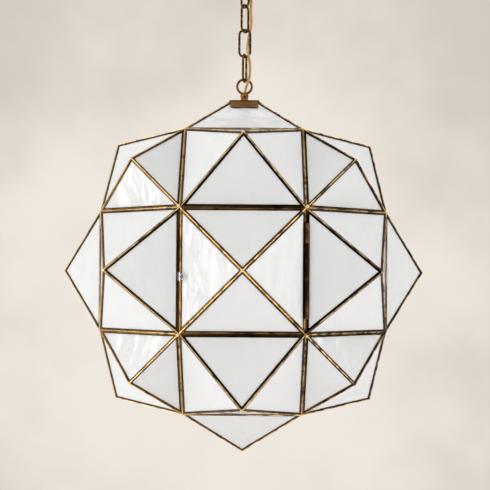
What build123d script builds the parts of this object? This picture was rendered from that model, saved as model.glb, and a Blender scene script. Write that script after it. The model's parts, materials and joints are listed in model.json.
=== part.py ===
from build123d import *
from math import atan2, cos, radians, sin, sqrt, tan
import os

# A star pendant of opal glass: 96 panes in brass channels make 26 shallow points round a rhombicuboctahedron.
# It hangs by a chain from a ceiling canopy, and its front point is a hinged door.
# The origin is the middle of the canopy's face on the ceiling, with +Z up, so the lamp lies below it.
# The front is -Y. Lengths are in millimetres.

os.makedirs("parts", exist_ok=True)

# Star
side = 161.0  # edge of the square that a four-sided point stands on, and so of every base edge
square_tip_reach = 254.0  # star's middle to the tip of a four-sided point
triangle_tip_lead = 1.4  # how much further a three-sided point reaches
triangle_tip_reach = square_tip_reach + triangle_tip_lead

# Panes and their channels
glass_thickness = 2.6
glass_play = 0.1  # between a pane and its channel, all round
channel_wall = 0.7  # each flange
channel_web = 0.8
channel_flange = 3.1  # flange width from the seam
solder_film = 0.04  # between neighbouring channels of one assembly
door_gap = 1.2  # between the door's channels and the star's

# Ceiling canopy and its strap
canopy_radius = 63.5
canopy_depth = 28.0
canopy_wall = 0.9
canopy_rim = 2.8  # straight edge against the ceiling
canopy_shoulder_width = 9.4
canopy_shoulder_height = 11.2
canopy_nose_radius = 14.0  # flat at the bottom, which the collar bears on
strap_length = 106.0
strap_width = 14.0
strap_thickness = 1.8
slot_length = 14.0
slot_width = 4.6
slot_margin = 1.55  # from a slot to the strap's end
slot_spacing = strap_length - slot_length - 2 * slot_margin

# Threaded tubes and what screws on them
thread_radius = 4.0
thread_play = 0.05
tube_bore_radius = 2.6
nut_across_flats = 14.0
nut_height = 4.5
collar_radius = 10.0
collar_height = 4.5
collar_ease = 0.9
washer_radius = 11.0
washer_thickness = 1.2

# Loops, one at each end of the chain
foot_radius = 7.95
foot_rim = 1.3
waist_radius = 5.4
waist_height = 4.2
ball_radius = 5.9
ball_height = 8.4  # middle of the ball above the foot
wireway_radius = 3.0
thread_depth = 4.6
loop_ring_radius = 10.35  # to the middle of the wire
loop_wire = 3.4
loop_height = 22.0  # middle of the ring above the foot

# Chain
link_count = 4
link_length = 42.3
link_width = 18.9
link_wire = 3.3
link_play = 0.2
link_joint = 0.35  # butt gap in one side of each link
link_turns = [-49.0, 53.0, -4.0, 73.0]  # from the top, about +Z, off a link that faces the front
canopy_loop_turn = 41.0

# Cap on the top point
cap_width = 42.0
cap_plate_thickness = 1.9
cap_sheet = 1.2
tab_width = 39.0
tab_length = 15.6
tab_wave = 0.7
cap_corner = 0.95
cap_bevel = 0.5
cap_play = 0.1

# Lampholder and lamp
stem_length = 34.0  # below the cap sheet
holder_neck_radius = 9.0
holder_neck_length = 16.0
holder_cap_radius = 18.0
holder_cap_height = 34.0
holder_skirt = 5.6
holder_wall = 0.8
holder_thread = 9.0
shell_radius = 16.9
shell_length = 46.0
shell_lap = 4.8  # of the shell inside the cap's skirt
bead_height = 13.8  # pressed ring above the shell's lower edge
bead_radius = 0.8
core_radius = 15.6
core_ease = 2.6
core_bore_radius = 13.4
core_bore_depth = 25.0
lamp_base_radius = 13.1
lamp_base_length = 24.0
lamp_contact = 4.0
lamp_neck_radius = 13.8
lamp_radius = 30.0
lamp_glass_length = 84.0
lamp_wall = 1.0

# Door hinge, its stop and its latch
hinge_length = 119.0
hinge_end_knuckle = 23.5
knuckle_gap = 0.3
barrel_radius = 2.2
barrel_play = 0.25  # between the barrel and the channels it lies on
pin_radius = 0.95
pin_play = 0.07
pin_head = 1.2
leaf_thickness = 0.7
leaf_width = 4.4
leaf_play = 0.05
stop_top = 33.0  # above the door's middle
stop_bottom = -54.0
stop_lap = 3.0  # each side of the seam
stop_thickness = 0.8
stop_play = 0.1
latch_drop = 7.9  # latch below the door's middle
latch_height = 10.8
latch_frame_lap = 3.0
latch_door_lap = 2.6
latch_thickness = 1.0
latch_play = 0.1
eye_radius = 1.7
eye_height = 2.4
eye_bore_radius = 1.0
pull_ring_radius = 3.95  # to the middle of the wire
pull_ring_wire = 1.3

# Cord
cord_diameter = 4.0

# Levels, from the ceiling down
canopy_loop_foot = -canopy_depth - collar_height
canopy_ring_level = canopy_loop_foot - loop_height
link_inner_half = link_length / 2 - link_wire
hang = loop_ring_radius - loop_wire / 2 + link_inner_half - link_play
pitch = 2 * link_inner_half - link_play
link_levels = [canopy_ring_level - hang - pitch * i for i in range(link_count)]
star_ring_level = link_levels[-1] - hang
cap_top = star_ring_level - loop_height

# The star's faces: squares at one reach from its middle, triangles between them
half_side = side / 2
square_reach = half_side * (1 + sqrt(2))
slope = atan2(square_tip_reach - square_reach, half_side)
channel_depth = glass_thickness + 2 * (glass_play + channel_wall)
cap_fold = cap_width / 2 + cap_play
cut_level = square_tip_reach - cap_fold * tan(slope)  # the top point's panes end here, above the star's middle
sheet_level = cut_level + cap_play / cos(slope)
cap_height = sheet_level + cap_sheet + cap_plate_thickness
star_level = cap_top - cap_height


def save(name, *solids):
    """Write one sub-part, which may be several separate solids."""
    export_step(solids[0] if len(solids) == 1 else Compound(list(solids)), f"parts/{name}.step")


def turned(*edges):
    """Solid of revolution about Z from a closed outline of (radius, height)."""
    return revolve(Plane.XZ * make_face(Curve() + list(edges)), Axis.Z)


def tube(radius, bore, bottom, top):
    """Upright tube, or a rod when the bore is 0."""
    ring = Circle(radius) - Circle(bore) if bore else Circle(radius)
    return extrude(Pos(0, 0, bottom) * ring, top - bottom)


def meeting(first, second, third):
    """Point where three planes meet."""
    a, b, c = first.z_dir, second.z_dir, third.z_dir
    total = (
        b.cross(c) * a.dot(first.origin)
        + c.cross(a) * b.dot(second.origin)
        + a.cross(b) * c.dot(third.origin)
    )
    return total * (1 / a.dot(b.cross(c)))


def block(top, bottom):
    """Solid between two polygons whose sides match one to one."""
    faces = [Face(Wire.make_polygon(top)), Face(Wire.make_polygon(bottom))]
    for i in range(len(top)):
        faces.append(Face(Wire.make_polygon([top[i - 1], top[i], bottom[i], bottom[i - 1]])))
    return Solid(Shell(faces))


# The 24 corners of the rhombicuboctahedron, about the star's middle
signs = (-1, 1)
corners = [
    Vector(*[(square_reach if k == long else half_side) * s for k, s in enumerate((a, b, c))])
    for long in range(3)
    for a in signs
    for b in signs
    for c in signs
]


class Point:
    """One of the star's 26 pyramids: its direction, the corners it stands on and its tip."""

    def __init__(self, direction):
        self.direction = direction
        outward = Vector(*direction).normalized()
        reach = max(outward.dot(c) for c in corners)
        base = [c for c in corners if outward.dot(c) > reach - side / 1000]
        across = (base[0] - outward * reach).normalized()
        along = outward.cross(across)
        self.base = sorted(base, key=lambda c: atan2(c.dot(along), c.dot(across)))
        self.tip = outward * (square_tip_reach if len(base) == 4 else triangle_tip_reach)

    def edge(self, i):
        return self.base[i], self.base[(i + 1) % len(self.base)]

    def normal(self, i):
        start, end = self.edge(i)
        return (end - start).cross(self.tip - start).normalized()


steps = (-1, 0, 1)
points = [Point((x, y, z)) for x in steps for y in steps for z in steps if (x, y, z) != (0, 0, 0)]
door_direction = (0, -1, 0)
top_direction = (0, 0, 1)


def edge_key(start, end):
    """Name of a base edge that is the same from both sides."""
    middle = (start + end) * 0.5
    return round(middle.X), round(middle.Y), round(middle.Z)


over_edge = {}
for point in points:
    for i in range(len(point.base)):
        over_edge.setdefault(edge_key(*point.edge(i)), []).append(point)


def seam(start, end, inside):
    """Plane through an edge and the star's middle, facing away from the pane."""
    away = start.cross(end).normalized()
    return Plane(origin=start, z_dir=away * -1 if away.dot(inside) > 0 else away)


class Pane:
    """One pane's place: its outer surface and the seams round it, each with the gap that it shares."""

    def __init__(self, point, i):
        start, end = point.edge(i)
        self.normal = point.normal(i)
        self.surface = Plane(origin=start, z_dir=self.normal)
        inside = (start + end + point.tip) * (1 / 3)
        other = next(p for p in over_edge[edge_key(start, end)] if p is not point)
        gap = door_gap if door_direction in (point.direction, other.direction) else solder_film
        self.sides = [
            (seam(start, end, inside), gap),
            (seam(end, point.tip, inside), solder_film),
            (seam(start, point.tip, inside), solder_film),
        ]
        if point.direction == top_direction:
            self.sides.insert(2, (Plane(origin=(0, 0, cut_level), z_dir=(0, 0, 1)), 0.0))

    def slab(self, outer, inner, setback=0.0, inset=0.0):
        """Block between two depths. Its sides stand back from the seams, squarely or along the pane."""
        seams = [
            plane.offset(-gap / 2 - setback - inset * sqrt(1 - plane.z_dir.dot(self.normal) ** 2))
            for plane, gap in self.sides
        ]
        rings = [
            [meeting(self.surface.offset(-depth), seams[k - 1], seams[k]) for k in range(len(seams))]
            for depth in (outer, inner)
        ]
        return block(*rings)

    def channel(self):
        """Loop of U channel, mitred at the corners, with a slot for the glass."""
        loop = self.slab(0.0, channel_depth)
        window = self.slab(-1.0, channel_depth + 1.0, inset=channel_flange)
        slot = self.slab(channel_wall, channel_depth - channel_wall, setback=channel_web)
        return (loop - window - slot).solid()

    def glass(self):
        outer = channel_wall + glass_play
        return self.slab(outer, outer + glass_thickness, setback=channel_web + glass_play)


def star(shape):
    """Move a shape from the star's own middle to where the star hangs."""
    return Pos(0, 0, star_level) * shape


# Glass: one node for each point, named by the way it points
heights = {1: "upper", 0: "", -1: "lower"}
depths = {-1: "front", 0: "", 1: "back"}
hands = {-1: "left", 0: "", 1: "right"}
poles = {(0, 0, 1): "top", (0, 0, -1): "bottom", door_direction: "door"}
channels = {"top": [], "upper": [], "middle": [], "lower": [], "bottom": [], "door": []}
for point in points:
    x, y, z = point.direction
    words = [word for word in (heights[z], depths[y], hands[x]) if word]
    name = poles.get(point.direction, "_".join(words))
    panes = [Pane(point, i) for i in range(len(point.base))]
    save(f"glass_{name}", *[star(pane.glass()) for pane in panes])
    band = name if name in channels else {1: "upper", 0: "middle", -1: "lower"}[z]
    channels[band] += [star(pane.channel()) for pane in panes]
for band, loops in channels.items():
    save(f"channels_{band}", *loops)


# Cap: a folded sheet with a tab down each of the top point's panes, under a square plate
def cap_tab():
    """Half of the sheet's cross-section, folded down the pane, with a hand-cut wavy lower edge."""
    down = Vector(cos(slope), -sin(slope))
    out = Vector(sin(slope), cos(slope))
    fold = Vector(cap_fold, sheet_level)
    reach = tab_length + 2 * tab_wave
    section = Polyline(
        (0, sheet_level),
        fold,
        fold + down * reach,
        fold + down * reach + out * cap_sheet,
        (cap_fold + cap_sheet * tan(slope / 2), sheet_level + cap_sheet),
        (0, sheet_level + cap_sheet),
        close=True,
    )
    strip = extrude(Plane.XZ * make_face(section), tab_width / 2, both=True)
    face = Plane(origin=(cap_fold, 0, sheet_level), x_dir=(0, 1, 0), z_dir=(sin(slope), 0, cos(slope)))
    half = tab_width / 2
    waves = [(-half, tab_wave), (-half / 2, -tab_wave), (0, tab_wave / 2), (half / 2, -tab_wave), (half, 0)]
    hem = Spline(*[(across, -tab_length + rise) for across, rise in waves])
    rest = Polyline(hem @ 1, (half, -2 * tab_length), (-half, -2 * tab_length), hem @ 0)
    return strip - extrude(face * make_face(hem + rest), 2 * cap_sheet, both=True)


tab = cap_tab()
cap_cross = tab + [Rot(0, 0, 90 * i) * tab for i in range(1, 4)]
cap_cross += Pos(0, 0, sheet_level + cap_sheet / 2) * Box(cap_width, cap_width, cap_sheet)
stem_hole = tube(thread_radius + thread_play, 0, sheet_level - cap_sheet, cap_height + cap_sheet)
save("cap_tabs", star((cap_cross - stem_hole).solid()))

plate = Pos(0, 0, cap_height - cap_plate_thickness / 2) * Box(cap_width, cap_width, cap_plate_thickness)
plate = fillet(plate.edges().filter_by(Axis.Z), cap_corner)
plate = chamfer(plate.faces().sort_by(Axis.Z)[-1].edges(), cap_bevel)
save("cap_plate", star((plate - stem_hole).solid()))


def loop():
    """Hanging loop with its foot at Z 0: turned foot, waist and ball with a wireway, under a ring."""
    waist_top = ball_height - sqrt(ball_radius**2 - waist_radius**2)
    body = turned(
        Polyline((0, ball_height + ball_radius), (0, 0), (foot_radius, 0), (foot_radius, foot_rim)),
        TangentArc((waist_radius, waist_height), (foot_radius, foot_rim), tangent=(0, -1)),
        Line((waist_radius, waist_height), (waist_radius, waist_top)),
        ThreePointArc(
            (waist_radius, waist_top), (ball_radius, ball_height), (0, ball_height + ball_radius)
        ),
    )
    ring = Pos(0, 0, loop_height) * Rot(90, 0, 0) * Torus(loop_ring_radius, loop_wire / 2)
    wireway = tube(wireway_radius, 0, 0, ball_height + ball_radius + loop_wire / 2)
    thread = tube(thread_radius + thread_play, 0, -foot_rim, thread_depth)
    return (body + ring - wireway - thread).solid()


save("canopy_loop", Pos(0, 0, canopy_loop_foot) * Rot(0, 0, canopy_loop_turn) * Rot(180, 0, 0) * loop())
save("star_loop", Pos(0, 0, cap_top) * loop())


def chain_link(level, turn):
    """Oval link of round wire, bent to a butt joint in the middle of one side."""
    reach = (link_width - link_wire) / 2
    straight = link_length / 2 - link_wire / 2 - reach
    start = Line((reach, 0, link_joint / 2), (reach, 0, straight))
    over = ThreePointArc((reach, 0, straight), (0, 0, straight + reach), (-reach, 0, straight))
    down = Line((-reach, 0, straight), (-reach, 0, -straight))
    under = ThreePointArc((-reach, 0, -straight), (0, 0, -straight - reach), (reach, 0, -straight))
    end = Line((reach, 0, -straight), (reach, 0, -link_joint / 2))
    wire = sweep(Plane(start @ 0, z_dir=start % 0) * Circle(link_wire / 2), start + over + down + under + end)
    return Pos(0, 0, level) * Rot(0, 0, turn) * wire.solid()


for i, (level, turn) in enumerate(zip(link_levels, link_turns)):
    save(f"chain_link_{i + 1}", chain_link(level, turn))


def nut(bottom):
    hexagon = RegularPolygon(nut_across_flats / 2, 6, major_radius=False)
    blank = extrude(Pos(0, 0, bottom) * (hexagon - Circle(thread_radius + thread_play)), nut_height)
    corner_radius = nut_across_flats / sqrt(3)
    ease = (corner_radius - nut_across_flats / 2) / 2
    cone = chamfer(tube(corner_radius, 0, bottom, bottom + nut_height).edges().filter_by(GeomType.CIRCLE), ease)
    return (blank & cone).solid()


# Canopy and the strap that carries it
def canopy():
    """Spun cover: a short rim, a round shoulder and a hollow sweep down to a flat nose."""
    rim = (canopy_radius, -canopy_rim)
    shoulder = (canopy_radius - canopy_shoulder_width, -canopy_rim - canopy_shoulder_height)
    bulge = TangentArc(rim, shoulder, tangent=(0, -1))
    hollow = TangentArc(shoulder, (canopy_nose_radius, -canopy_depth), tangent=bulge % 1)
    spun = turned(
        Polyline((0, -canopy_depth), (0, 0), (canopy_radius, 0), rim),
        bulge,
        hollow,
        Line(hollow @ 1, (0, -canopy_depth)),
    )
    cover = offset(spun, -canopy_wall, openings=spun.faces().sort_by(Axis.Z)[-1])
    return (cover - tube(thread_radius + thread_play, 0, -2 * canopy_depth, 0)).solid()


save("canopy", canopy())

strap = Pos(0, 0, -strap_thickness / 2) * Box(strap_length, strap_width, strap_thickness)
strap = fillet(strap.edges().filter_by(Axis.Z), strap_width / 2 - strap_thickness)
strap -= tube(thread_radius + thread_play, 0, -2 * strap_thickness, strap_thickness)
for hand in signs:
    slot = Pos(hand * slot_spacing / 2, 0, 0) * SlotOverall(slot_length, slot_width)
    strap -= extrude(slot, 2 * strap_thickness, both=True)
save("mounting_strap", strap.solid())

save("canopy_stem", tube(thread_radius, tube_bore_radius, canopy_loop_foot - thread_depth + cap_play, -cap_play))
save("canopy_nut", nut(-strap_thickness - nut_height))
collar = tube(collar_radius, thread_radius + thread_play, canopy_loop_foot, -canopy_depth)
collar = fillet(collar.edges().filter_by(GeomType.CIRCLE).group_by(SortBy.RADIUS)[-1], collar_ease)
save("canopy_collar", collar.solid())

# Stem through the cap, with the lampholder on its lower end
stem_bottom = sheet_level - stem_length
save(
    "star_stem",
    star(tube(thread_radius, tube_bore_radius, stem_bottom, cap_height + thread_depth - cap_play)),
)
washer_level = sheet_level - washer_thickness
save(
    "stem_washer",
    star(tube(washer_radius, thread_radius + thread_play, washer_level, sheet_level)),
)
save("stem_nut", star(nut(washer_level - nut_height)))


def holder_cap():
    """Turned cap: a neck on the stem, domed out to the skirt that takes the shell."""
    top = stem_bottom + holder_thread
    neck = top - holder_neck_length
    bottom = top - holder_cap_height
    skirt = bottom + holder_skirt

    def bell(inset, peak):
        neck_radius, skirt_radius = holder_neck_radius - inset, holder_cap_radius - inset
        return turned(
            Polyline((0, bottom), (0, peak), (neck_radius, peak), (neck_radius, neck)),
            TangentArc((skirt_radius, skirt), (neck_radius, neck), tangent=(0, 1)),
            Polyline((skirt_radius, skirt), (skirt_radius, bottom), (0, bottom)),
        )

    hole = tube(thread_radius + thread_play, 0, bottom, top + holder_wall)
    return (bell(0, top) - bell(holder_wall, stem_bottom) - hole).solid()


holder_bottom = stem_bottom + holder_thread - holder_cap_height
shell_top = holder_bottom + shell_lap
shell_bottom = shell_top - shell_length
core_top = shell_top - holder_wall
core_bottom = shell_bottom + 2 * holder_wall
save("holder_cap", star(holder_cap()))
bead_level = shell_bottom + bead_height
shell = tube(shell_radius, 0, shell_bottom, shell_top)
shell += Pos(0, 0, bead_level) * Torus(shell_radius, bead_radius)
shell -= tube(shell_radius - holder_wall, 0, shell_bottom, shell_top)
save("holder_shell", star(shell.solid()))

core = tube(core_radius, 0, core_bottom, core_top)
core -= tube(core_bore_radius, 0, core_bottom, core_bottom + core_bore_depth)
core = chamfer(core.edges().filter_by(GeomType.CIRCLE).sort_by(Axis.Z)[-1], core_ease)
save("holder_core", star(core.solid()))

lamp_base_top = core_bottom + lamp_base_length
lamp_base = turned(
    Polyline(
        (0, core_bottom),
        (0, lamp_base_top),
        (lamp_contact, lamp_base_top),
        (lamp_base_radius - lamp_contact / 2, lamp_base_top - lamp_contact),
        (lamp_base_radius, lamp_base_top - lamp_contact),
        (lamp_base_radius, core_bottom),
        close=True,
    )
)
save("lamp_base", star(lamp_base.solid()))


def lamp():
    """Blown envelope: a round belly and a long neck, open where it is cemented to its base."""
    bottom = core_bottom - lamp_glass_length
    belly = bottom + lamp_radius
    rise = core_bottom - belly
    neck_bend = (lamp_neck_radius**2 + rise**2 - lamp_radius**2) / (2 * (lamp_radius - lamp_neck_radius))
    share = lamp_radius / (lamp_radius + neck_bend)
    cheek = ((lamp_neck_radius + neck_bend) * share, belly + rise * share)
    neck = TangentArc((lamp_neck_radius, core_bottom), cheek, tangent=(0, -1))
    blown = turned(
        Polyline((0, bottom), (0, core_bottom), (lamp_neck_radius, core_bottom)),
        neck,
        TangentArc(cheek, (0, bottom), tangent=neck % 1),
    )
    return offset(blown, -lamp_wall, openings=blown.faces().sort_by(Axis.Z)[-1]).solid()


save("lamp_glass", star(lamp()))


class Seat:
    """Flat flange beside one of the door's upright edges, in plan: away from the edge and outward."""

    def __init__(self, edge, point):
        lean = Vector(point.tip.X, point.tip.Y) - edge
        self.edge = edge
        self.along = lean.normalized()
        self.out = Vector(-self.along.Y, self.along.X)
        if self.out.dot(edge) < 0:
            self.out = self.out * -1

    def at(self, along, out):
        return self.edge + self.along * along + self.out * out

    def strip(self, start, end, low, high):
        outline = [self.at(start, low), self.at(end, low), self.at(end, high), self.at(start, high)]
        return make_face(Polyline(*outline, close=True))


door_point = next(p for p in points if p.direction == door_direction)
right_point = next(p for p in points if p.direction == (1, -1, 0))
left_point = next(p for p in points if p.direction == (-1, -1, 0))
hinge_edge = Vector(half_side, -square_reach)
latch_edge = Vector(-half_side, -square_reach)
hinge_frame_seat, hinge_door_seat = Seat(hinge_edge, right_point), Seat(hinge_edge, door_point)
latch_frame_seat, latch_door_seat = Seat(latch_edge, left_point), Seat(latch_edge, door_point)

# Hinge: its barrel lies in the valley beside the door and clears both flanges alike
valley = hinge_edge.normalized()
valley_sine = valley.cross(hinge_door_seat.along).length
barrel = hinge_edge + valley * ((barrel_radius + barrel_play) / valley_sine)
leaf_start = barrel_radius + knuckle_gap + (barrel - hinge_edge).dot(hinge_door_seat.along) / 2
inner_knuckle = hinge_length / 2 - hinge_end_knuckle


def leaf(seat, spans):
    """One leaf: a strip along its flange, joined to its knuckles on the spans given."""
    foot = (barrel - hinge_edge).dot(seat.along)
    low, high = leaf_play, leaf_play + leaf_thickness
    made = extrude(
        Pos(0, 0, -hinge_length / 2) * seat.strip(leaf_start, leaf_width, low, high), hinge_length
    )
    knuckle = Pos(barrel.X, barrel.Y) * Circle(barrel_radius) + seat.strip(foot, leaf_width, low, high)
    for bottom, top in spans:
        made += extrude(Pos(0, 0, bottom) * knuckle, top - bottom)
    bore = Pos(barrel.X, barrel.Y) * tube(pin_radius + pin_play, 0, -hinge_length, hinge_length)
    return (made - bore).solid()


frame_spans = [
    (-hinge_length / 2, -inner_knuckle - knuckle_gap / 2),
    (inner_knuckle + knuckle_gap / 2, hinge_length / 2),
]
door_spans = [(-inner_knuckle + knuckle_gap / 2, inner_knuckle - knuckle_gap / 2)]
save("hinge_frame_leaf", star(leaf(hinge_frame_seat, frame_spans)))
save("hinge_door_leaf", star(leaf(hinge_door_seat, door_spans)))
pin_end = hinge_length / 2 + pin_play
pin = tube(pin_radius, 0, -pin_end, pin_end)
pin += tube(barrel_radius * 0.8, 0, pin_end, pin_end + pin_head)
pin += tube(barrel_radius * 0.8, 0, -pin_end - pin_head, -pin_end)
save("hinge_pin", star(Pos(barrel.X, barrel.Y) * pin.solid()))

# Stop: a strip under the star's flange that reaches behind the door's
stop_face = latch_frame_seat.strip(
    -stop_lap, stop_lap, -channel_depth - stop_play - stop_thickness, -channel_depth - stop_play
)
stop = extrude(Pos(0, 0, stop_bottom) * stop_face, stop_top - stop_bottom)
save("door_stop", star(stop.solid()))

# Latch: a saddle fixed on the door's flange that snaps over the star's, with an eye for its pull ring
mid_along = (latch_frame_seat.along + latch_door_seat.along).normalized()
saddle_low = latch_play / mid_along.cross(latch_door_seat.along).length
saddle_high = (latch_play + latch_thickness) / mid_along.cross(latch_door_seat.along).length
saddle = make_face(
    Polyline(
        latch_frame_seat.at(latch_frame_lap, latch_play),
        latch_edge + mid_along * saddle_low,
        latch_door_seat.at(latch_door_lap, latch_play),
        latch_door_seat.at(latch_door_lap, latch_play + latch_thickness),
        latch_edge + mid_along * saddle_high,
        latch_frame_seat.at(latch_frame_lap, latch_play + latch_thickness),
        close=True,
    )
)
eye = latch_door_seat.at(latch_door_lap + eye_radius / 2, latch_play + eye_radius)
latch = extrude(Pos(0, 0, -latch_height / 2) * saddle, latch_height)
latch += Pos(eye.X, eye.Y) * tube(eye_radius, 0, -eye_height / 2, eye_height / 2)
latch -= Pos(eye.X, eye.Y) * tube(eye_bore_radius, 0, -eye_height, eye_height)
save("latch_clip", star(Pos(0, 0, -latch_drop) * latch.solid()))

ring_middle = latch_door_seat.at(
    latch_door_lap + eye_radius / 2 + pull_ring_radius, latch_play + eye_radius
)
ring_plane = Plane(origin=(ring_middle.X, ring_middle.Y, -latch_drop), z_dir=latch_door_seat.out)
save("pull_ring", star(ring_plane * Torus(pull_ring_radius, pull_ring_wire / 2)))

# Cord: beside the chain and through it, chosen by hand as (x, y, height above the star's middle).
# Both ends stand in a loop's wireway.
cord_route = [
    (0.0, 0.0, 440.5),
    (0.2, 0.1, 431.5),
    (2.8, 0.0, 424.0),
    (6.8, -0.1, 415.5),
    (8.4, 0.2, 405.0),
    (8.7, -0.2, 388.0),
    (8.5, 0.4, 371.0),
    (9.1, 1.2, 356.5),
    (8.6, 2.7, 347.5),
    (6.4, 4.0, 339.5),
    (4.9, 3.4, 330.5),
    (3.8, 1.3, 322.0),
    (3.7, -2.4, 315.0),
    (5.1, -5.0, 307.5),
    (7.3, -5.0, 298.0),
    (7.9, -3.7, 285.0),
    (6.7, -4.5, 275.0),
    (3.7, -3.2, 266.5),
    (0.9, -0.6, 259.0),
    (0.0, 0.0, 249.5),
]


def cord():
    """Tube on straight runs joined by arcs as large as the runs allow."""
    path = [Vector(x, y, z + star_level) for x, y, z in cord_route]
    runs = [b - a for a, b in zip(path, path[1:])]
    radii = [
        0.45 * min(a.length, b.length) / tan(radians(a.get_angle(b)) / 2) for a, b in zip(runs, runs[1:])
    ]
    line = FilletPolyline(*path, radius=radii)
    print("cord radii", [round(r, 1) for r in radii], "length", round(line.length, 1))
    made = sweep(Plane(line @ 0, z_dir=line % 0) * Circle(cord_diameter / 2), line)
    return made.solid()


save("cord", cord())
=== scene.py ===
import bpy
import bmesh
import json
import math
from mathutils import Matrix, Vector, noise

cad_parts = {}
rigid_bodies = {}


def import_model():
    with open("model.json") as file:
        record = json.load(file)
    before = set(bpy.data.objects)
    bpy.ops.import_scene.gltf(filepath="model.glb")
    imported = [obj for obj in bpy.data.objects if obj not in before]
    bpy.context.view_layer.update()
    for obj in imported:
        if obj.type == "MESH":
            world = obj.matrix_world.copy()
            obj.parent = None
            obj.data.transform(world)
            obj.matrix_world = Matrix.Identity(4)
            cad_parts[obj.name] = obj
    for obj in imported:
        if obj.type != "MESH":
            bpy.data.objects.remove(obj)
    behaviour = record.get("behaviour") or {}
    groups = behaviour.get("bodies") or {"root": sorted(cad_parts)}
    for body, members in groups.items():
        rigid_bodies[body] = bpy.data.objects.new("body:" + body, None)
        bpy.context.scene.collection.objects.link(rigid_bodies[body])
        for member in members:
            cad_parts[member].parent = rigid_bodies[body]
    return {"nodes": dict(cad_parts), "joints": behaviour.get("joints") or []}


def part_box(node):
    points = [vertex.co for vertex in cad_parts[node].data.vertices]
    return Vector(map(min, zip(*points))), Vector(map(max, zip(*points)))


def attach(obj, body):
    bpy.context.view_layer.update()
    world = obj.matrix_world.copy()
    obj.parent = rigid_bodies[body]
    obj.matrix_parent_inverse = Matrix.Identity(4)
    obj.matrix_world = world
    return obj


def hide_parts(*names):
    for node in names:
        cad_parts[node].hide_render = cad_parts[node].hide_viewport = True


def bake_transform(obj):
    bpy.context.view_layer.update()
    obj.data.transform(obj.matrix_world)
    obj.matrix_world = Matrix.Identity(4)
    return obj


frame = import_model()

for spare in [o for o in bpy.data.objects if o.name in ("Cube", "Camera", "Light")]:
    bpy.data.objects.remove(spare)
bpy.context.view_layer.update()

# a star pendant of opal glass in brass channels, hung by a chain, with a hinged door in front
mm = 0.001
up = Vector((0, 0, 1))


def middleOf(node):
    low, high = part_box(node)
    return (Vector(low) + Vector(high)) / 2


star = {"side": 161 * mm, "squareTip": 254 * mm, "triangleTip": 255.4 * mm}  # as the CAD has them
starMiddle = Vector((0, 0, middleOf("glass_left").z))


# shader maths: a socket that adds Math nodes when it is used in an expression
class Socket:
    def __init__(self, paint, output):
        self.paint, self.output = paint, output

    def maths(self, operation, *values):
        return self.paint.add("Math", {"operation": operation}, dict(enumerate(values)))

    def __add__(self, other):
        return self.maths("ADD", self, other)

    def __radd__(self, other):
        return self.maths("ADD", other, self)

    def __sub__(self, other):
        return self.maths("SUBTRACT", self, other)

    def __rsub__(self, other):
        return self.maths("SUBTRACT", other, self)

    def __mul__(self, other):
        return self.maths("MULTIPLY", self, other)

    def __rmul__(self, other):
        return self.maths("MULTIPLY", other, self)

    def sine(self):
        return self.maths("SINE", self)

    def between(self, low, high):  # 0 at low, 1 at high, smooth in between
        return self.paint.add("MapRange", {"interpolation_type": "SMOOTHSTEP"}, {0: self, 1: low, 2: high})


class Paint:
    def __init__(self, name, owner=None):
        self.owner = owner or bpy.data.materials.new(name)
        self.owner.use_nodes = True
        self.tree = self.owner.node_tree
        self.tree.nodes.clear()

    def add(self, kind, settings=None, values=None, output=0):
        node = self.tree.nodes.new("ShaderNode" + kind)
        for key, value in (settings or {}).items():
            setattr(node, key, value)
        for key, value in (values or {}).items():
            if isinstance(value, Socket):
                self.tree.links.new(value.output, node.inputs[key])
            elif isinstance(value, tuple) and len(value) == 3 and node.inputs[key].type == "RGBA":
                node.inputs[key].default_value = (*value, 1)
            else:
                node.inputs[key].default_value = value
        return None if output is None else Socket(self, node.outputs[output])

    def place(self, stretch=(1, 1, 1), turn=(0, 0, 0)):  # object coordinates, turned and stretched
        where = self.add("TexCoord", output="Object")
        return self.add("Mapping", {}, {"Vector": where, "Scale": stretch, "Rotation": turn})

    def coordinate(self, axis, vector=None):  # axis 0, 1 or 2 of a vector, or of the object's own place
        return self.add("SeparateXYZ", {}, {0: vector or self.place()}, output=axis)

    def cloud(self, vector, scale, detail=3.0, rough=0.5):
        return self.add("TexNoise", {}, {"Vector": vector, "Scale": scale, "Detail": detail, "Roughness": rough})

    def mix(self, factor, first, second):
        return self.add("Mix", {"data_type": "RGBA"}, {0: factor, 6: first, 7: second}, output=2)

    def bump(self, height, distance, strength=1.0):
        return self.add("Bump", {}, {"Height": height, "Distance": distance, "Strength": strength})

    def surface(self, values):
        return self.finish(self.add("BsdfPrincipled", {}, values))

    def finish(self, shader, kind="Material"):
        self.add("Output" + kind, {}, {"Surface": shader}, output=None)
        return self.owner


# finishes
brassTones = {
    # grime and shade is near-black patina with painted shade; worn and highlit is rubbed brass with painted
    # highlight
    "grimeAndShade": (0.006, 0.003, 0.0012),
    "dark": (0.022, 0.0095, 0.003),
    "gold": (0.26, 0.125, 0.030),
    "wornAndHighlit": (0.94, 0.71, 0.38),
    "mottle": 70.0,  # patches to the metre
    "capPatches": (0.5, 0.5, 1.5),  # the cap's are wide and low
    "grain": 900.0,
    "brushed": 630.0,
    "brushing": (1, 1, 0.08),
    "lean": 0.4,  # painted shade: darker towards the right, with fewer painted highlights there
    "patinaEdge": (-0.14, 0.12),  # on each side of the darkness
    "grimeAndShadeShare": 0.95,
    "hemEdge": (0.4 * mm, 2.0 * mm),  # the painted shade line's height over a cap's lower edge
    "hemShadeShare": 0.8,
}


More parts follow.
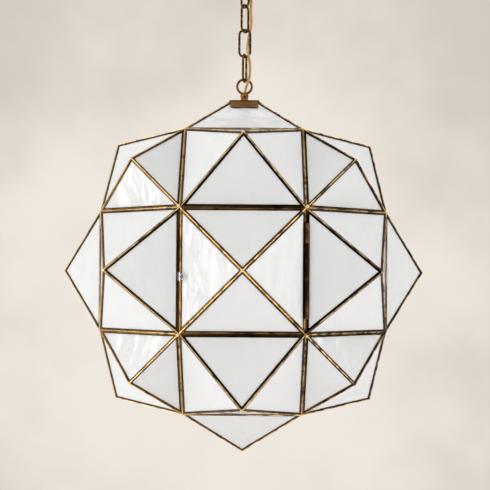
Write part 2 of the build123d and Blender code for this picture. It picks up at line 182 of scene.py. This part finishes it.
def antiqueBrass(name, darkness=0.5, roughness=0.3, polishAndHighlight=0.8, mottle=1.0, hem=None):
    paint = Paint(name)
    where = paint.place()
    spread = paint.place(brassTones["capPatches"]) if hem else where
    patches = paint.cloud(spread, brassTones["mottle"] * mottle, 4.0, 0.62)
    grain = paint.cloud(where, brassTones["grain"], 2.0)
    brushed = paint.cloud(paint.place(brassTones["brushing"]), brassTones["brushed"], 2.0)
    # this attribute carries rubbed wear with painted highlight above zero, and patina with painted shade below
    # zero
    wearHighlightShade = paint.add("Attribute", {"attribute_name": "wearHighlightShade"}, output="Fac")
    # painted shade and light: the brass darkens towards the right, and its painted highlights thin out there
    lean = paint.coordinate(0, where) * brassTones["lean"]
    darkEdge, goldEdge = (darkness + edge for edge in brassTones["patinaEdge"])
    # random patina patches, plus painted shade towards the right
    patinaAndShade = (patches * 0.72 + grain * 0.28 - lean).between(darkEdge, goldEdge)
    tone = paint.mix(patinaAndShade, brassTones["dark"], brassTones["gold"])
    # rubbed brass on seams and edges, partly a painted highlight that favours the left
    rubbedAndHighlit = wearHighlightShade.between(0.1, 0.9) * polishAndHighlight * (patches - lean).between(0.3, 0.55)
    tone = paint.mix(rubbedAndHighlit, tone, brassTones["wornAndHighlit"])
    # near-black patina with painted shade along the glass edges and in recesses
    tone = paint.mix((0 - wearHighlightShade).between(0.1, 0.9) * brassTones["grimeAndShadeShare"], tone, brassTones["grimeAndShade"])
    if hem:  # painted shade: a darker line along a cap's lower edge
        above = paint.coordinate(2, where).between(*(hem + edge for edge in brassTones["hemEdge"]))
        tone = paint.mix((1 - above) * brassTones["hemShadeShare"], tone, brassTones["dark"])
    return paint.surface({
        "Base Color": tone,
        "Metallic": 1.0,
        "Roughness": roughness + 0.1 * grain + 0.1 * (1 - patinaAndShade),
        "Normal": paint.bump(grain * 0.6 + brushed * 0.4, 0.05 * mm, 0.4),
    })


opal = {
    "milk": (0.835, 0.84, 0.84),
    "clearer": (0.875, 0.88, 0.88),
    "rolls": 34.0,  # to the metre, as the two below
    "swells": 9.0,
    "wisps": 9.0,
    "relief": 3.0 * mm,
    "depth": 7.0 * mm,  # how far light spreads in it
    "stemShadeTone": (0.60, 0.59, 0.57),  # painted shade where the stem would show through the top panes
    "stemShadeShare": 0.35,
    "stemAside": (4 * mm, 11 * mm),
    "stemHeight": (200 * mm, 235 * mm),
}


def opalGlass():
    paint = Paint("opalGlassRolled")
    rolls = paint.cloud(paint.place((1.0, 1.0, 0.6), (0.4, 0.3, 0.2)), opal["rolls"], 2.0, 0.45)
    swells = paint.cloud(paint.place(), opal["swells"], 1.0, 0.4)
    wisps = paint.cloud(paint.place((1, 1, 0.4), (0.6, 0.4, 0.2)), opal["wisps"], 3.0, 0.55)
    milk = paint.mix(wisps.between(0.35, 0.7), opal["milk"], opal["clearer"])
    # painted shade: a darker band where the stem stands behind the top panes
    aside = paint.coordinate(0)
    stemShade = 1 - (aside * aside).between(*(edge * edge for edge in opal["stemAside"]))
    stemShade = stemShade * paint.coordinate(2).between(*(starMiddle.z + edge for edge in opal["stemHeight"]))
    return paint.surface({
        "Base Color": paint.mix(stemShade * opal["stemShadeShare"], milk, opal["stemShadeTone"]),
        "Roughness": 0.035 + 0.03 * wisps,
        "IOR": 1.52,
        "Subsurface Weight": 0.9,
        "Subsurface Radius": (1.0, 0.98, 0.95),
        "Subsurface Scale": opal["depth"],
        "Normal": paint.bump(rolls * 1.6 + swells, opal["relief"], 0.5),
    })


def plainMetal(name, colour, shade, roughness, scale=600.0):
    paint = Paint(name)
    grain = paint.cloud(paint.place(), scale, 3.0)
    blotch = paint.cloud(paint.place(), scale * 0.06, 2.0)
    return paint.surface({
        "Base Color": paint.mix(blotch.between(0.3, 0.7), shade, colour),
        "Metallic": 1.0,
        "Roughness": roughness + 0.15 * grain,
        "Normal": paint.bump(grain, 0.03 * mm, 0.4),
    })


def blackMoulding():
    paint = Paint("blackMouldedCore")
    speck = paint.cloud(paint.place(), 2500.0, 2.0)
    return paint.surface({
        "Base Color": paint.mix(speck, (0.012, 0.012, 0.013), (0.03, 0.029, 0.028)),
        "Roughness": 0.38 + 0.2 * speck,
        "Normal": paint.bump(speck, 0.04 * mm, 0.5),
    })


def frostedLamp():
    paint = Paint("frostedLampGlass")
    frost = paint.cloud(paint.place(), 1800.0, 2.0)
    return paint.surface({
        "Base Color": paint.mix(frost, (0.9, 0.9, 0.88), (0.97, 0.97, 0.95)),
        "Roughness": 0.35 + 0.15 * frost,
        "Transmission Weight": 0.45,
        "IOR": 1.45,
        "Normal": paint.bump(frost, 0.02 * mm, 0.4),
    })


def goldSheath():
    paint = Paint("goldCordSheath")
    sheath = paint.add("UVMap", {"uv_map": "sheath"})
    turn = paint.coordinate(0, sheath) + paint.coordinate(1, sheath) * 42.0  # two cores, 42 turns to the metre
    cores = (turn * (4 * math.pi)).sine() * 0.5 + 0.5
    cloudy = paint.cloud(paint.place(), 90.0, 3.0)
    tone = paint.mix(cores * 0.1 + cloudy * 0.5, (0.42, 0.20, 0.035), (0.72, 0.43, 0.11))
    return paint.surface({
        "Base Color": tone,
        "Roughness": 0.16 + 0.08 * cloudy,
        "IOR": 1.5,
        "Coat Weight": 0.7,
        "Coat Roughness": 0.08,
        "Subsurface Weight": 0.1,
        "Subsurface Radius": (1.0, 0.6, 0.2),
        "Subsurface Scale": 1.2 * mm,
        "Normal": paint.bump(cores * 0.3 + cloudy * 0.2, 0.15 * mm, 0.3),
    })


finishes = {
    "antique_brass": antiqueBrass("antiqueBrass"),
    "opal_glass": opalGlass(),
    "nickel": plainMetal("dullNickel", (0.62, 0.60, 0.56), (0.30, 0.28, 0.25), 0.16),
    "zinc_steel": plainMetal("zincSteel", (0.60, 0.61, 0.62), (0.44, 0.45, 0.47), 0.34, 250.0),
    "lamp_brass": plainMetal("lampBrass", (0.82, 0.62, 0.33), (0.66, 0.47, 0.22), 0.22),
    "black_moulding": blackMoulding(),
    "lamp_glass": frostedLamp(),
    "gold_cord": goldSheath(),
}
channelBrass = antiqueBrass("channelBrass", 0.515, 0.13, 0.6)
chainBrass = antiqueBrass("chainBrass", 0.53, 0.26, 0.8, 3.0)
capBrass = antiqueBrass("capBrass", 0.41, 0.4, 0.8, 5.0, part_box("cap_tabs")[0][2])
loopBrass = antiqueBrass("loopBrass", 0.46, 0.36, 0.85, 3.0)
solderBrass = antiqueBrass("solderBrass", 0.40, 0.15, 0.85)
hingeBrass = antiqueBrass("hingeBrass", 0.48, 0.2)
# painted shade: the door's hinge leaf takes a darker copy of the hinge brass
hingeShadedBrass = antiqueBrass("hingeShadedBrass", 0.6, 0.2)

for node in frame["nodes"].values():
    slot = node.material_slots[0]
    finish = finishes[slot.material.name]
    slot.link = "OBJECT"
    if node.name.startswith("chain_link"):
        finish = chainBrass
    if node.name.startswith("cap_"):
        finish = capBrass
    if node.name in ("star_loop", "canopy_loop"):
        finish = loopBrass
    if node.name.startswith("hinge"):
        finish = hingeShadedBrass if node.name == "hinge_door_leaf" else hingeBrass
    slot.material = finish
print("finishes: every CAD node is painted")


# meshes
copying = {"merge": 0.002 * mm, "flat": 0.5}  # flat is in degrees


def newObject(name, data):
    made = bpy.data.objects.new(name, data)
    bpy.context.scene.collection.objects.link(made)
    return made


def newMesh(bm, name, material):
    mesh = bpy.data.meshes.new(name)
    bm.to_mesh(mesh)
    bm.free()
    mesh.materials.append(material)
    return mesh


def newPiece(bm, name, material, body):
    mesh = newMesh(bm, name, material)
    mesh.shade_smooth()
    mesh.set_sharp_from_angle(angle=math.radians(60))
    piece = newObject(name, mesh)
    if body:
        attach(piece, body)
    return piece


def copyOf(node):  # a CAD node's mesh with its loose triangles merged into flat faces
    bm = bmesh.new()
    bm.from_mesh(frame["nodes"][node].data)
    bmesh.ops.remove_doubles(bm, verts=bm.verts, dist=copying["merge"])
    bmesh.ops.dissolve_limit(bm, angle_limit=math.radians(copying["flat"]), verts=bm.verts, edges=bm.edges)
    return bm


def vertsIn(geometry):
    return [part for part in geometry if isinstance(part, bmesh.types.BMVert)]


def islands(bm):
    left = set(bm.faces)
    while left:
        group = [left.pop()]
        for face in group:
            near = {f for e in face.edges for f in e.link_faces} & left
            left -= near
            group += near
        yield group


# the star's corners and points
half = star["side"] / 2
squareReach = half * (1 + math.sqrt(2))
corners = [
    starMiddle + Vector([(squareReach if k == long else half) * s for k, s in enumerate((a, b, c))])
    for long in range(3) for a in (-1, 1) for b in (-1, 1) for c in (-1, 1)
]


def starPoint(direction):
    outward = Vector(direction).normalized()
    reach = max(outward.dot(c - starMiddle) for c in corners)
    base = [c for c in corners if outward.dot(c - starMiddle) > reach - mm]
    across = (base[0] - starMiddle - outward * reach).normalized()
    along = outward.cross(across)
    base.sort(key=lambda c: math.atan2((c - starMiddle).dot(along), (c - starMiddle).dot(across)))
    tip = star["squareTip"] if len(base) == 4 else star["triangleTip"]
    return {"direction": direction, "outward": outward, "base": base, "tip": starMiddle + outward * tip}


steps = (-1, 0, 1)
points = [starPoint((x, y, z)) for x in steps for y in steps for z in steps if (x, y, z) != (0, 0, 0)]
doorDirection, topDirection = (0, -1, 0), (0, 0, 1)


# channels: the CAD's loops, with a rolled face on each flange
channel = {
    "flange": 3.1 * mm, "roll": 0.34 * mm, "steps": 6, "skin": 0.1 * mm,
    "film": 0.02 * mm, "doorGap": 0.65 * mm, "lap": 0.08 * mm,
    "shadeStrip": 0.55 * mm, "glassDepth": 0.78 * mm,  # a near-black strip from the flange down to the glass, patina with painted shade
    # by the ridge the brass is rubbed, partly a painted highlight; by the glass it is patina with painted shade
    "seamWearAndHighlight": 1.0, "wearAndHighlightFall": 5.0, "glassGrimeAndShade": -1.0, "grimeAndShadeFall": 2.2,
}


def outlinesOf(point):  # the corners of each pane's channel on its outer surface
    tip, base = point["tip"], point["base"]
    for i, start in enumerate(base):
        end = base[(i + 1) % len(base)]
        outline = [start, end, tip]
        if point["direction"] == topDirection:
            share = (tip.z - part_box("channels_top")[1][2]) / (tip.z - start.z)
            outline = [start, end, tip.lerp(end, share), tip.lerp(start, share)]
        if start in door["base"] and end in door["base"]:  # the door's seam is wider
            height = (tip - (start + end) / 2).length
            outline[:2] = [corner.lerp(tip, channel["doorGap"] / height) for corner in (start, end)]
        outward = (end - start).cross(tip - start).normalized()
        yield outline, outward


def insetFace(bm, face, thickness, depth):
    bmesh.ops.inset_individual(bm, faces=[face], thickness=thickness, depth=depth, use_even_offset=True)


def rolledFace(bm, wearHighlightShade, outline, outward):
    width, steps = channel["flange"] - channel["film"], channel["steps"]
    made = [
        bmesh.ops.create_vert(bm, co=corner - outward * (channel["roll"] + channel["lap"]))["vert"][0]
        for corner in outline
    ]
    face = bmesh.ops.contextual_create(bm, geom=made)["faces"][0]
    face.normal_update()
    if face.normal.dot(outward) < 0:
        face.normal_flip()
    insetFace(bm, face, channel["film"], channel["lap"])
    across, height = 0.0, 0.0
    for step in range(1, steps + 1):
        place = (1 - math.cos(math.pi * step / steps)) / 2
        rise = channel["roll"] * (1 - (2 * place - 1) ** 2)
        insetFace(bm, face, width * (place - across), rise - height)
        across, height = place, rise
        # painted highlight with wear near the seam, patina with painted shade near the glass
        wornAndHighlit = channel["seamWearAndHighlight"] * max(0, 1 - place * channel["wearAndHighlightFall"])
        grimeAndShadeHere = channel["glassGrimeAndShade"] * max(0, 1 - (1 - place) * channel["grimeAndShadeFall"])
        for vert in face.verts:
            vert[wearHighlightShade] = wornAndHighlit + grimeAndShadeHere
    # the strip down to the glass is painted near-black: patina with painted shade
    insetFace(bm, face, channel["shadeStrip"], channel["roll"] - channel["glassDepth"])
    for vert in face.verts:
        vert[wearHighlightShade] = channel["glassGrimeAndShade"]
    bmesh.ops.delete(bm, geom=[face], context="FACES")


def outwardArea(face):
    return face.calc_area() * face.normal.dot((face.calc_center_median() - starMiddle).normalized())


def channelWork(node, body, kept):
    bm = copyOf(node)
    wearHighlightShade = bm.verts.layers.float.new("wearHighlightShade")
    for faces in islands(bm):  # the flat flange goes under the rolled one
        facing = max(faces, key=outwardArea).normal.copy()
        verts = {v for f in faces for v in f.verts}
        surface = max(v.co.dot(facing) for v in verts) - channel["skin"]
        outer = [v for v in verts if v.co.dot(facing) > surface]
        bmesh.ops.translate(bm, verts=outer, vec=-facing * channel["roll"])
        # the flange under the rolled one is painted near-black: patina with painted shade
        for vert in outer:
            vert[wearHighlightShade] = channel["glassGrimeAndShade"]
    for point in kept:
        for outline, outward in outlinesOf(point):
            rolledFace(bm, wearHighlightShade, outline, outward)
    piece = newPiece(bm, node + "_brass", channelBrass, body)
    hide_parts(node)


door = next(p for p in points if p["direction"] == doorDirection)
bands = {"top": topDirection, "bottom": (0, 0, -1), "door": doorDirection}
for band, direction in bands.items():
    kept = [p for p in points if p["direction"] == direction]
    channelWork("channels_" + band, "door" if band == "door" else "star", kept)
for band, level in {"upper": 1, "middle": 0, "lower": -1}.items():
    kept = [p for p in points if p["direction"][2] == level and p["direction"] not in bands.values()]
    channelWork("channels_" + band, "star", kept)
print("channels: six sets with rolled faces")


# solder: a run along each seam and a blob at each tip and corner
solder = {
    "ridgeRadius": 0.62 * mm, "ridgeSink": 0.25 * mm,
    "valleyRadius": 0.62 * mm, "valleySink": -0.15 * mm,
    "sides": 6, "cuts": 15, "unevenness": 0.16 * mm, "waves": 900.0,
    "tipRadius": 2.0 * mm, "cornerRadius": 2.3 * mm, "flat": 0.62, "blobUnevenness": 0.28 * mm,
    "tipSink": 0.45, "cornerSink": 0.1, "doorClear": 1.2,  # shares of a blob's radius
    "capShare": 0.27,  # of the top point's ridges, under the cap
    "seed": 7,
}


def unevenly(verts, amount):
    for vert in verts:
        vert.co += noise.noise_vector(vert.co * solder["waves"]) * amount


def solderRun(bm, start, end, outward, radius, sink):
    direction = end - start
    middle = (start + end) / 2 - outward * sink
    turn = direction.to_track_quat("Z", "Y").to_matrix().to_4x4()
    made = bmesh.ops.create_cone(
        bm, cap_ends=True, segments=solder["sides"], radius1=radius, radius2=radius,
        depth=direction.length, matrix=Matrix.Translation(middle) @ turn,
    )["verts"]
    sides = dict.fromkeys(e for v in made for e in v.link_edges if e.calc_length() > radius * 3)
    cut = bmesh.ops.subdivide_edges(bm, edges=list(sides), cuts=solder["cuts"])
    unevenly(vertsIn(cut["geom_inner"]), solder["unevenness"])


def solderBlob(bm, place, outward, radius):
    turn = outward.to_track_quat("Z", "Y").to_matrix().to_4x4()
    squash = Matrix.Diagonal((1, 1, solder["flat"], 1))
    made = bmesh.ops.create_icosphere(
        bm, subdivisions=2, radius=radius, matrix=Matrix.Translation(place) @ turn @ squash
    )["verts"]
    unevenly(made, solder["blobUnevenness"])


def solderWork():
    noise.seed_set(solder["seed"])  # without it the noise starts from the clock
    works = {"star": bmesh.new(), "door": bmesh.new()}
    seams = {}
    for point in points:
        bm = works["door" if point["direction"] == doorDirection else "star"]
        base, tip = point["base"], point["tip"]
        for i, corner in enumerate(base):
            top = tip.lerp(corner, solder["capShare"]) if point["direction"] == topDirection else tip
            solderRun(bm, top, corner, point["outward"], solder["ridgeRadius"], solder["ridgeSink"])
            middle = (corner + base[i - 1]) / 2
            seams.setdefault(tuple(round(x / mm) for x in middle), []).append((point, corner, base[i - 1]))
        if point["direction"] != topDirection:
            place = tip - point["outward"] * solder["tipRadius"] * solder["tipSink"]
            solderBlob(bm, place, point["outward"], solder["tipRadius"])
    for pair in seams.values():
        if all(point["direction"] != doorDirection for point, _, _ in pair):
            _, start, end = pair[0]
            outward = ((start + end) / 2 - starMiddle).normalized()
            solderRun(works["star"], start, end, outward, solder["valleyRadius"], solder["valleySink"])
    for corner in corners:
        outward = (corner - starMiddle).normalized()
        place = corner - outward * solder["cornerRadius"] * solder["cornerSink"]
        if corner in door["base"]:  # the door's corners stay free of the solder beside them
            away = Vector((outward.x, 0, outward.z)).normalized()
            place += away * solder["cornerRadius"] * solder["doorClear"]
        solderBlob(works["star"], place, outward, solder["cornerRadius"])
    for body, bm in works.items():
        wearHighlightShade = bm.verts.layers.float.new("wearHighlightShade")
        # the solder takes the rubbed colour all over, partly a painted highlight
        for vert in bm.verts:
            vert[wearHighlightShade] = 1.0
        newPiece(bm, body + "_solder", solderBrass, body)


solderWork()
print("solder: runs and blobs")

# cord: amber sheath beside the chain and through it
cord = {"diameter": 4 * mm, "sides": 20, "resolution": 14, "bend": 9 * mm, "sameLevel": 1e-6}
cordRoute = [  # x, y and height above the star's middle
    (0.0, 0.0, 0.4405), (0.0002, 0.0001, 0.4315), (0.0028, 0.0, 0.424), (0.0068, -0.0001, 0.4155),
    (0.0084, 0.0002, 0.405), (0.0087, -0.0002, 0.388), (0.0085, 0.0004, 0.371), (0.0091, 0.0012, 0.3565),
    (0.0086, 0.0027, 0.3475), (0.0064, 0.004, 0.3395), (0.0049, 0.0034, 0.3305), (0.0038, 0.0013, 0.322),
    (0.0037, -0.0024, 0.315), (0.0051, -0.005, 0.3075), (0.0073, -0.005, 0.298), (0.0079, -0.0037, 0.285),
    (0.0067, -0.0045, 0.275), (0.0037, -0.0032, 0.2665), (0.0009, -0.0006, 0.259), (0.0, 0.0, 0.2495),
]


def cordLine():  # points of the route's smooth line, from the ceiling down
    curve = bpy.data.curves.new("cordLine", "CURVE")
    curve.dimensions = "3D"
    spline = curve.splines.new("NURBS")
    spline.points.add(len(cordRoute) - 1)
    for point, place in zip(spline.points, cordRoute):
        point.co = (*(Vector(place) + starMiddle), 1)
    spline.order_u = 3
    spline.use_endpoint_u = True
    curve.resolution_u = cord["resolution"]
    carrier = newObject("cordLine", curve)
    line = bpy.data.meshes.new_from_object(carrier)
    places = [v.co.copy() for v in line.vertices]
    bpy.data.objects.remove(carrier)
    bpy.data.meshes.remove(line)
    return places if places[0].z > places[-1].z else places[::-1]


def cutAt(line, level):  # the line's points with one more exactly at a level
    out = []
    for a, b in zip(line, line[1:]):
        out.append(a)
        if a.z > level + cord["sameLevel"] and b.z < level - cord["sameLevel"]:
            out.append(a.lerp(b, (a.z - level) / (a.z - b.z)))
    return out + [line[-1]]


def ringPlaces(line):  # a matrix for each ring, turned as little as the line allows
    places, side = [], Vector((1, 0, 0))
    for i, point in enumerate(line):
        ahead = (line[min(i + 1, len(line) - 1)] - line[max(i - 1, 0)]).normalized()
        side = (side - ahead * side.dot(ahead)).normalized()
        other = ahead.cross(side)
        places.append(Matrix.Translation(point) @ Matrix((side, other, ahead)).transposed().to_4x4())
    return places


def ringEdges(ring):
    edges = (e for v in ring for e in v.link_edges if e.verts[0] in ring and e.verts[1] in ring)
    return list(dict.fromkeys(edges))  # each once, in the same order every run


def cordPiece(name, line, places, travelled):
    bm = bmesh.new()
    uv = bm.loops.layers.uv.new("sheath")
    turn = bm.verts.layers.float.new("turn")
    run = bm.verts.layers.float.new("run")
    radius = cord["diameter"] / 2
    ring = bmesh.ops.create_circle(bm, segments=cord["sides"], radius=radius, cap_ends=True)["verts"]
    for vert in ring:
        vert[turn] = math.atan2(vert.co.y, vert.co.x) / math.tau % 1
        vert[run] = travelled
        vert.co = places[0] @ vert.co
    for i in range(1, len(places)):
        ring = vertsIn(bmesh.ops.extrude_edge_only(bm, edges=ringEdges(ring))["geom"])
        travelled += (line[i] - line[i - 1]).length
        bmesh.ops.transform(bm, verts=ring, matrix=places[i] @ places[i - 1].inverted())
        for vert in ring:
            vert[run] = travelled
    bmesh.ops.contextual_create(bm, geom=ringEdges(ring))
    bmesh.ops.recalc_face_normals(bm, faces=bm.faces)
    for face in bm.faces:
        turns = [v[turn] for v in face.verts]
        wraps = max(turns) - min(turns) > 0.5
        for loop in face.loops:
            around = loop.vert[turn] + (1 if wraps and loop.vert[turn] < 0.5 else 0)
            loop[uv].uv = (around, loop.vert[run])
    return newPiece(bm, name, finishes["gold_cord"], None), travelled


def cordWork():
    chain = ["chain_link_%d" % i for i in (1, 2, 3, 4)]
    levels = [middleOf(link).z for link in chain]
    line = cordLine()
    for level in levels:
        line = cutAt(line, level)
    places = ringPlaces(line)
    pivots = [joint["pos_m"][2] for joint in frame["joints"] if joint["name"].endswith("_swing")][:5]
    bounds = [line[0].z + mm, *levels, line[-1].z - mm]
    travelled, near = 0.0, cord["sameLevel"]
    for i in range(len(chain) + 1):
        picked = [k for k, p in enumerate(line) if bounds[i + 1] - near <= p.z <= bounds[i] + near]
        stretch = [line[k] for k in picked]
        piece, travelled = cordPiece("cord_%d" % (i + 1), stretch, [places[k] for k in picked], travelled)
        at = stretch[min(range(len(stretch)), key=lambda k: abs(stretch[k].z - pivots[i]))]
        at + up * cord["bend"]
        at - up * cord["bend"]
        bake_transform(piece)
        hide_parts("cord")
        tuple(stretch[0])
    print("cord: %.0f mm in %d stretches" % (travelled / mm, len(chain) + 1))


cordWork()

# floor, light and camera
stage = {
    "floorDrop": 1.5, "floorRadius": 0.75, "floorTone": (0.74, 0.71, 0.67),
    "backdrop": (0.865, 0.81, 0.742), "edgeShadeTone": (0.655, 0.60, 0.53),
}


def floor():
    bm = bmesh.new()
    bmesh.ops.create_circle(
        bm, segments=96, radius=stage["floorRadius"], cap_ends=True,
        matrix=Matrix.Translation((0, 0, -stage["floorDrop"])),
    )
    paint = Paint("paleFloor")
    mottle = paint.cloud(paint.place(), 6.0, 4.0)
    material = paint.surface({
        "Base Color": paint.mix(mottle, stage["floorTone"], tuple(c * 1.05 for c in stage["floorTone"])),
        "Roughness": 0.8,
    })
    newObject("floor", newMesh(bm, "floor", material))


room = {  # edges are parts of a direction: x to the right, y away, z up
    "light": 1.12, "facing": 0.88, "facingEdge": (0.2, 0.6), "fall": 0.14, "rise": 0.3, "sides": 0.58,
    "dark": 0.985, "darkEdge": (0.70, 0.88), "ceiling": 0.6, "ceilingEdge": (0.88, 0.97),
    "tone": (1.0, 0.99, 0.975),
    "window": 3.2, "windowSide": (0.86, 0.9), "windowSill": (-0.33, -0.26), "windowEnd": 0.14,
    "bars": 40.0, "slats": 135.0, "slatsEnd": -0.2,
    "leaves": 4.2, "leafSize": 64.0, "leafEdge": (0.50, 0.54), "leafSide": (0.86, 0.92),
    "leafPlace": (0.31, 0.17, 0.23), "leafStretch": (1.0, 0.6, 1.4), "leafBand": (0.06, 0.12),
}


def windowLight(sideways, away, height):  # an opening on the left with bars, and slats in its far part
    opening = (0 - sideways).between(*room["windowSide"]) * height.between(*room["windowSill"])
    opening = opening * (room["windowEnd"] - away).between(0.0, 0.06)
    bars = (away * room["bars"] + height * 4.0).sine().between(-0.6, 0.0)
    slats = (height * room["slats"] + 2.3).sine().between(-0.7, 0.1)
    free = (away - room["slatsEnd"]).between(0.0, 0.1)
    return opening * bars * (slats + free - slats * free)


def gardenLight(paint, way, sideways, away, height):  # leaves on the right, in a narrow arc
    garden = paint.add("Mapping", {}, {
        "Vector": way, "Location": room["leafPlace"], "Scale": room["leafStretch"]
    })
    leaves = paint.cloud(garden, room["leafSize"], 1.0, 0.5).between(*room["leafEdge"])
    bend = height * height - 0.26 * away - 0.073
    return leaves * sideways.between(*room["leafSide"]) * (1 - (bend * bend * 100.0).between(*room["leafBand"]))


def skyLight():  # a mottled beige backdrop with painted shade towards its edges, and a room with a window on the left and garden light on the right
    world = bpy.data.worlds.new("studio")
    bpy.context.scene.world = world
    paint = Paint("studio", world)
    way = paint.add("TexCoord", output="Generated")
    sideways, away, height = (paint.coordinate(axis, way) for axis in range(3))
    towards = sideways * 0.14 - away * 0.99
    level = room["light"] + room["facing"] * towards.between(*room["facingEdge"])
    level = level - room["fall"] * height + room["rise"] * height * height - room["sides"] * sideways * sideways
    level = level * (1 - room["dark"] * towards.between(*room["darkEdge"]))
    level = level * (1 - room["ceiling"] * height.between(*room["ceilingEdge"]))
    level = level + room["window"] * windowLight(sideways, away, height)
    level = level + room["leaves"] * gardenLight(paint, way, sideways, away, height)
    light = paint.add("Background", {}, {"Color": room["tone"], "Strength": level})
    # painted shade: the backdrop darkens towards its edges, with mottling
    across, upward = sideways + 0.02, height + 0.035
    mottle = paint.cloud(way, 11.0, 4.0, 0.5)
    edge = ((across * across + upward * upward) * 10.0 + mottle * 1.3 - 0.62).between(0.0, 1.0)
    shown = paint.add("Background", {}, {
        "Color": paint.mix(edge, stage["backdrop"], stage["edgeShadeTone"]), "Strength": 1.0
    })
    seen = paint.add("LightPath", output="Is Camera Ray")
    paint.finish(paint.add("MixShader", {}, {0: seen, 1: light, 2: shown}), "World")


white, warm = (1.0, 1.0, 1.0), (1.0, 0.96, 0.9)
lamps = {
    "leftPane1": {"place": (-2.0, -0.95, -0.35), "wide": 0.12, "tall": 1.3, "power": 1.6, "tone": white},
    "leftPane2": {"place": (-2.1, -0.45, -0.35), "wide": 0.12, "tall": 1.3, "power": 1.6, "tone": white},
    "lowFill": {"place": (0.0, -1.3, -1.45), "wide": 1.0, "tall": 0.5, "power": 0.7, "tone": white},
    "rightStrip": {"place": (2.0, -0.3, -0.45), "wide": 0.12, "tall": 0.9, "power": 1.0, "tone": warm},
}


def softboxes():
    for name, box in lamps.items():
        light = bpy.data.lights.new(name, "AREA")
        light.shape, light.size, light.size_y = "RECTANGLE", box["wide"], box["tall"]
        light.energy, light.color = box["power"], box["tone"]
        carrier = newObject(name, light)
        carrier.location = Vector(box["place"])
        carrier.rotation_euler = (starMiddle - carrier.location).to_track_quat("-Z", "Y").to_euler()


view = {  # the camera, in photo pixels of 1.4194 mm at the star's middle
    "pixel": 1.4194 * mm, "distance": 1293.3, "right": 1.7055, "up": 26.706,
    "turnX": -0.0265, "turnY": 0.0066, "turnZ": -0.0033, "frame": 490, "sensor": 36.0,
}


def photoCamera():
    turn = (
        Matrix.Rotation(view["turnY"], 3, "Y") @ Matrix.Rotation(view["turnX"], 3, "X")
        @ Matrix.Rotation(view["turnZ"], 3, "Z")
    ).transposed()
    data = bpy.data.cameras.new("photoCamera")
    data.sensor_width = view["sensor"]
    data.lens = view["sensor"] * view["distance"] / view["frame"]
    camera = newObject("photoCamera", data)
    eye = starMiddle + turn @ Vector((view["right"], -view["distance"], view["up"])) * view["pixel"]
    right, ahead, above = (turn @ Vector(axis) for axis in ((1, 0, 0), (0, 1, 0), (0, 0, 1)))
    camera.matrix_world = Matrix.Translation(eye) @ Matrix((right, above, -ahead)).transposed().to_4x4()
    bpy.context.scene.camera = camera


floor()
skyLight()
softboxes()
photoCamera()
bpy.context.scene.view_settings.view_transform = "Standard"
print("stage: floor, studio light and camera")
